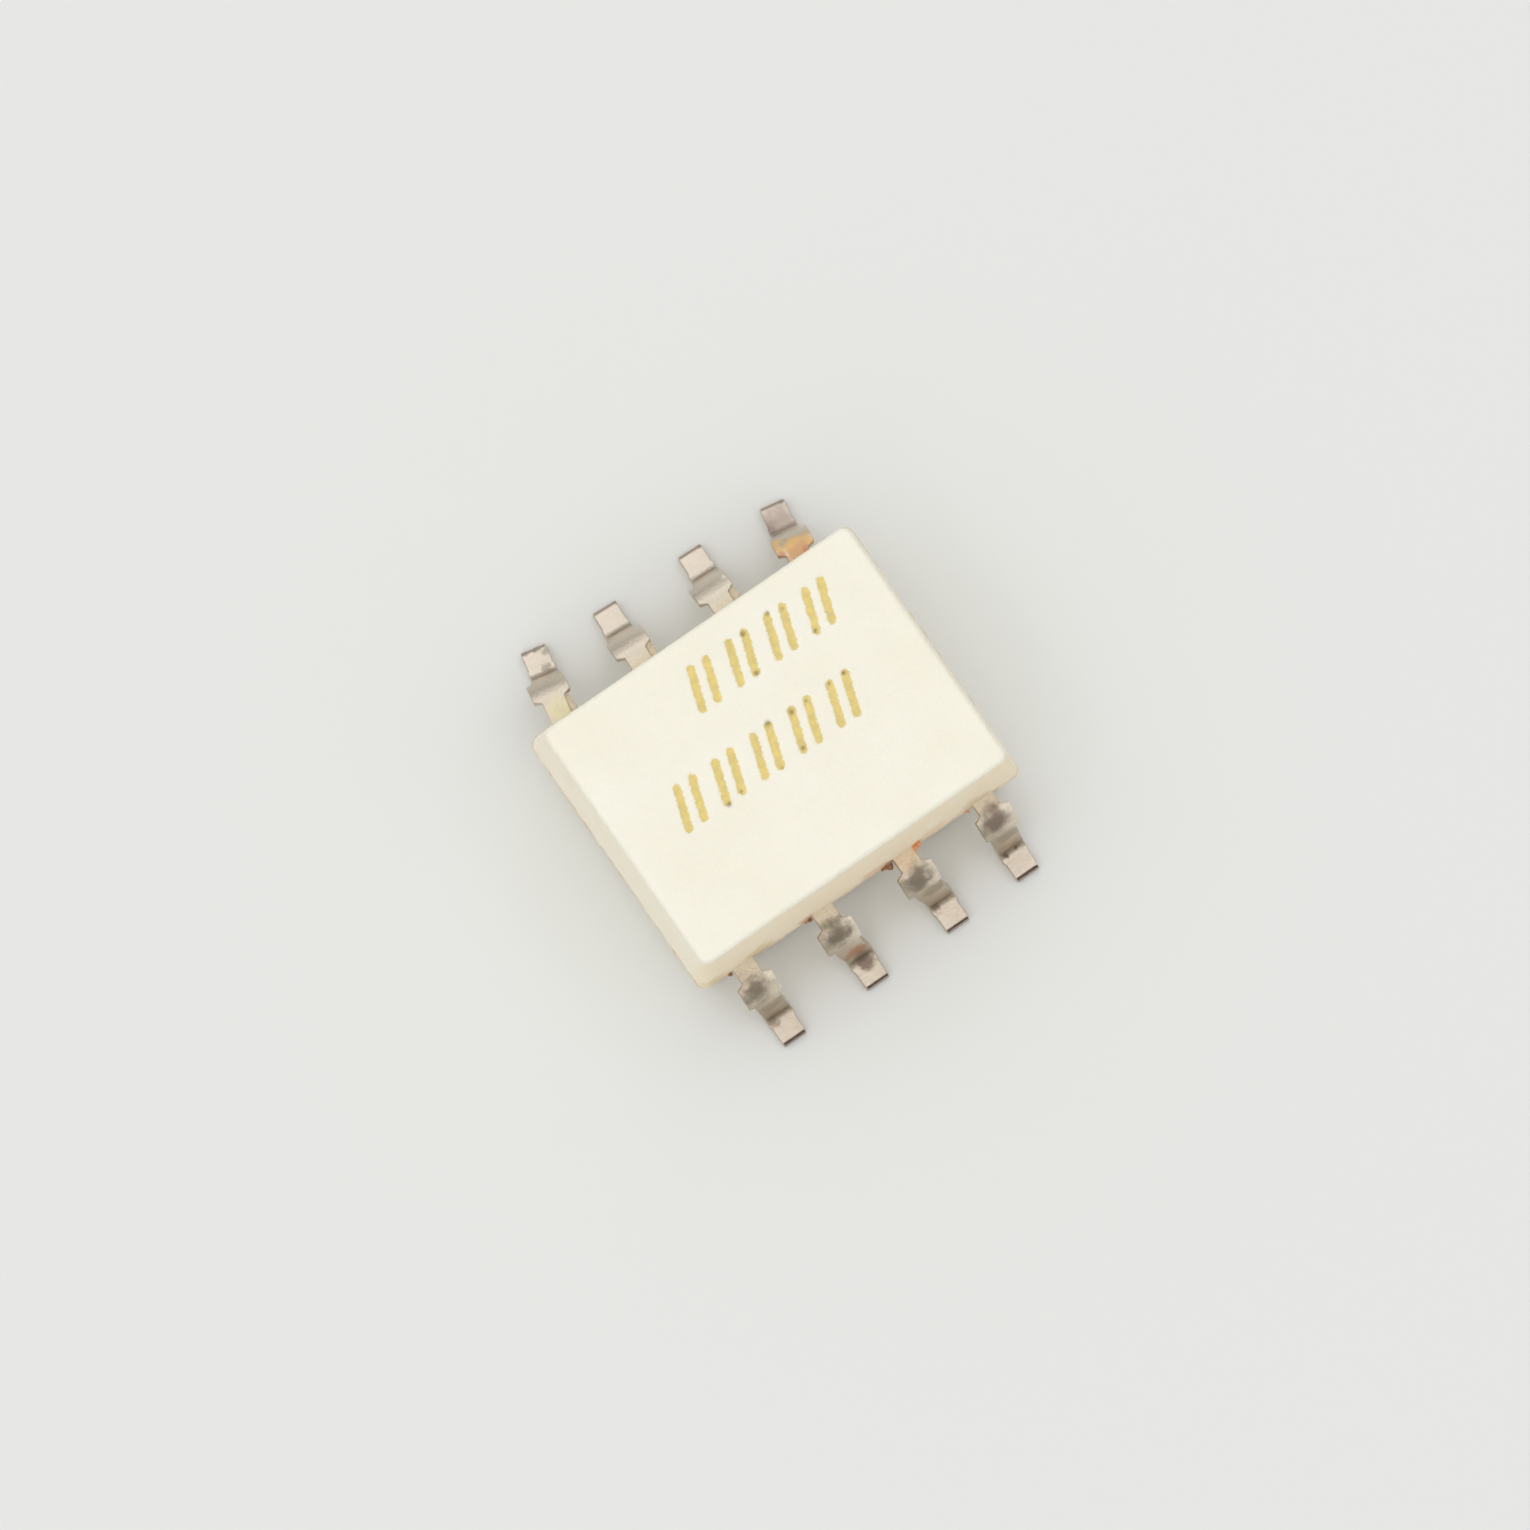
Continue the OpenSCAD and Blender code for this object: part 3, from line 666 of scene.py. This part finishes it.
def web_mesh():
    """A thin ragged plate of resin beside each webbed neck, level with the seam."""
    bm = bmesh.new()
    for node in WEBBED:
        inner = NECK_X[node] + NECK_HALF - WEB_T
        rows = []
        for k in range(WEB_STEPS + 1):
            out = BODY_HIGH.y - WEB_T + (WEB_OUT + WEB_T) * k / WEB_STEPS
            ragged = noise.noise(Vector((NECK_X[node] * WEB_WAVES[0], out * WEB_WAVES[1], 0)))
            outer = inner + WEB_T + WEB_REACH * (1 + WEB_RAGGED * ragged)
            rows.append([
                bm.verts.new((x, out, PARTING_Z + z))
                for x, z in ((inner, -WEB_T), (outer, -WEB_T / 3), (outer, WEB_T / 3), (inner, WEB_T))
            ])
        for near, far in zip(rows, rows[1:]):
            for i in range(4):
                j = (i + 1) % 4
                bm.faces.new((near[i], near[j], far[j], far[i]))
        bm.faces.new(rows[0][::-1])
        bm.faces.new(rows[-1])
    bmesh.ops.recalc_face_normals(bm, faces=bm.faces)
    mesh = bpy.data.meshes.new("resin_webs")
    bm.to_mesh(mesh)
    bm.free()
    mesh.shade_smooth()
    return mesh


def web_material():
    """Thin resin, tan where it lies over the metal."""
    paint = Paint("resin_web")
    paint.set(base_color=paint.mix(paint.noise(0.06), rgb(212, 198, 172), rgb(228, 216, 192)))
    paint.set(roughness=paint.noise(0.05, low=0.4, high=0.6), subsurface_weight=0.3)
    paint.set(subsurface_radius=(1.0, 0.7, 0.4), subsurface_scale=0.05 * MM)
    paint.bump(paint.noise(0.03), 0.003)
    return paint.material


def crumb_mesh():
    """Small lumps, each drawn out of round, sunk into the seam."""
    bm = bmesh.new()
    for middle, size in CRUMBS:
        made = bmesh.ops.create_icosphere(bm, subdivisions=3, radius=size)
        for vertex in made["verts"]:
            place = (vertex.co + Vector(middle)) / size * CRUMB_WAVES
            vertex.co *= 1 + CRUMB_LUMP * noise.noise(place)
            vertex.co.z *= CRUMB_SQUASH
            vertex.co += Vector(middle)
    mesh = bpy.data.meshes.new("flux_crumbs")
    bm.to_mesh(mesh)
    bm.free()
    mesh.shade_smooth()
    return mesh


def crumb_material():
    """Burnt flux, brown to orange."""
    paint = Paint("flux")
    shade = paint.mix(paint.noise(0.03), rgb(128, 84, 54), rgb(170, 118, 76))
    colour = paint.mix(paint.step(paint.x, *ORANGE_X), shade, rgb(226, 158, 98))
    paint.set(base_color=colour, roughness=0.45, subsurface_weight=0.2)
    paint.set(subsurface_radius=(1.0, 0.6, 0.3), subsurface_scale=0.04 * MM)
    paint.bump(paint.noise(0.02), 0.003)
    return paint.material


# ---------------------------------------------------------------- stage


FLOOR_HALF = 3000


def add_floor():
    """A matt floor without an end in view."""
    paint = Paint("pale_floor")
    paint.set(base_color=rgb(229, 230, 227), roughness=1.0, ior_level=0.0)
    mesh = bpy.data.meshes.new("floor")
    half = FLOOR_HALF * MM
    corners = [(-half, -half, 0), (half, -half, 0), (half, half, 0), (-half, half, 0)]
    mesh.from_pydata(corners, [], [(0, 1, 2, 3)])
    mesh.materials.append(paint.material)
    floor = bpy.data.objects.new("floor", mesh)
    bpy.context.scene.collection.objects.link(floor)


# Brightness of the plain sky.
SKY = 0.3
# Softboxes: azimuth and elevation of the middle, width and height, distance, and brightness.
SOFTBOXES = {
    "overhead": (0, 90, 560, 560, 430, 0.9),
    "back": (0, 38, 500, 270, 300, 0.6),
    "left": (90, 38, 500, 270, 300, 0.65),
    "right": (-90, 38, 500, 270, 300, 0.45),
    "front": (180, 38, 500, 270, 300, 0.45),
}


def add_light():
    """Softboxes overhead and on all four sides, and a plain sky."""
    for name, (azimuth, elevation, width, height, distance, brightness) in SOFTBOXES.items():
        data = bpy.data.lights.new(name, "AREA")
        data.shape = "RECTANGLE"
        data.size = width * MM
        data.size_y = height * MM
        data.energy = brightness * math.pi * data.size * data.size_y
        lamp = bpy.data.objects.new(name, data)
        turn, lift = math.radians(azimuth), math.radians(elevation)
        side = math.cos(lift)
        place = Vector((-math.sin(turn) * side, math.cos(turn) * side, math.sin(lift)))
        lamp.location = place * distance * MM
        lamp.rotation_mode = "QUATERNION"
        lamp.rotation_quaternion = place.to_track_quat("Z", "Y")
        bpy.context.scene.collection.objects.link(lamp)

    world = bpy.data.worlds.new("sky")
    world.use_nodes = True
    background = next(n for n in world.node_tree.nodes if n.type == "BACKGROUND")
    background.inputs["Color"].default_value = (1, 1, 1, 1)
    background.inputs["Strength"].default_value = SKY
    bpy.context.scene.world = world


# ---------------------------------------------------------------- the object

add_camera()
add_piece("mould_shell", body_mesh(), mould_material(), "mould", "mould_body")

LEADS = [f"lead_{n}" for n in range(1, 9)]
tinned, cut = tinned_material(), cut_material()
for lead in LEADS:
    add_piece(lead + "_strip", lead_mesh(lead), [tinned, cut], "lead_strip", lead)

add_piece("flux_crumbs", crumb_mesh(), crumb_material(), "mould")
add_piece("resin_webs", web_mesh(), web_material(), "mould")

INNER_FINISHES = {
    "coupling_block": plain_material("coupling_resin", (236, 228, 206), (224, 214, 190), 0, 0.2, 0.4),
    "die": plain_material("die", (92, 94, 112), (70, 72, 88), 0, 0.15, 0.1),
    "paste": plain_material("paste", (196, 196, 190), (160, 160, 154), 0.5, 0.5, 0.03),
    "wire": plain_material("bond_wire", (232, 196, 96), (214, 176, 80), 1, 0.3, 0.05),
}
for node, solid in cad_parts.items():
    kind = node if node in INNER_FINISHES else node.split("_")[-1]
    if kind in INNER_FINISHES:
        solid.material_slots[0].link = "OBJECT"
        solid.material_slots[0].material = INNER_FINISHES[kind]

add_floor()
add_light()
bpy.context.scene.view_settings.view_transform = "Standard"
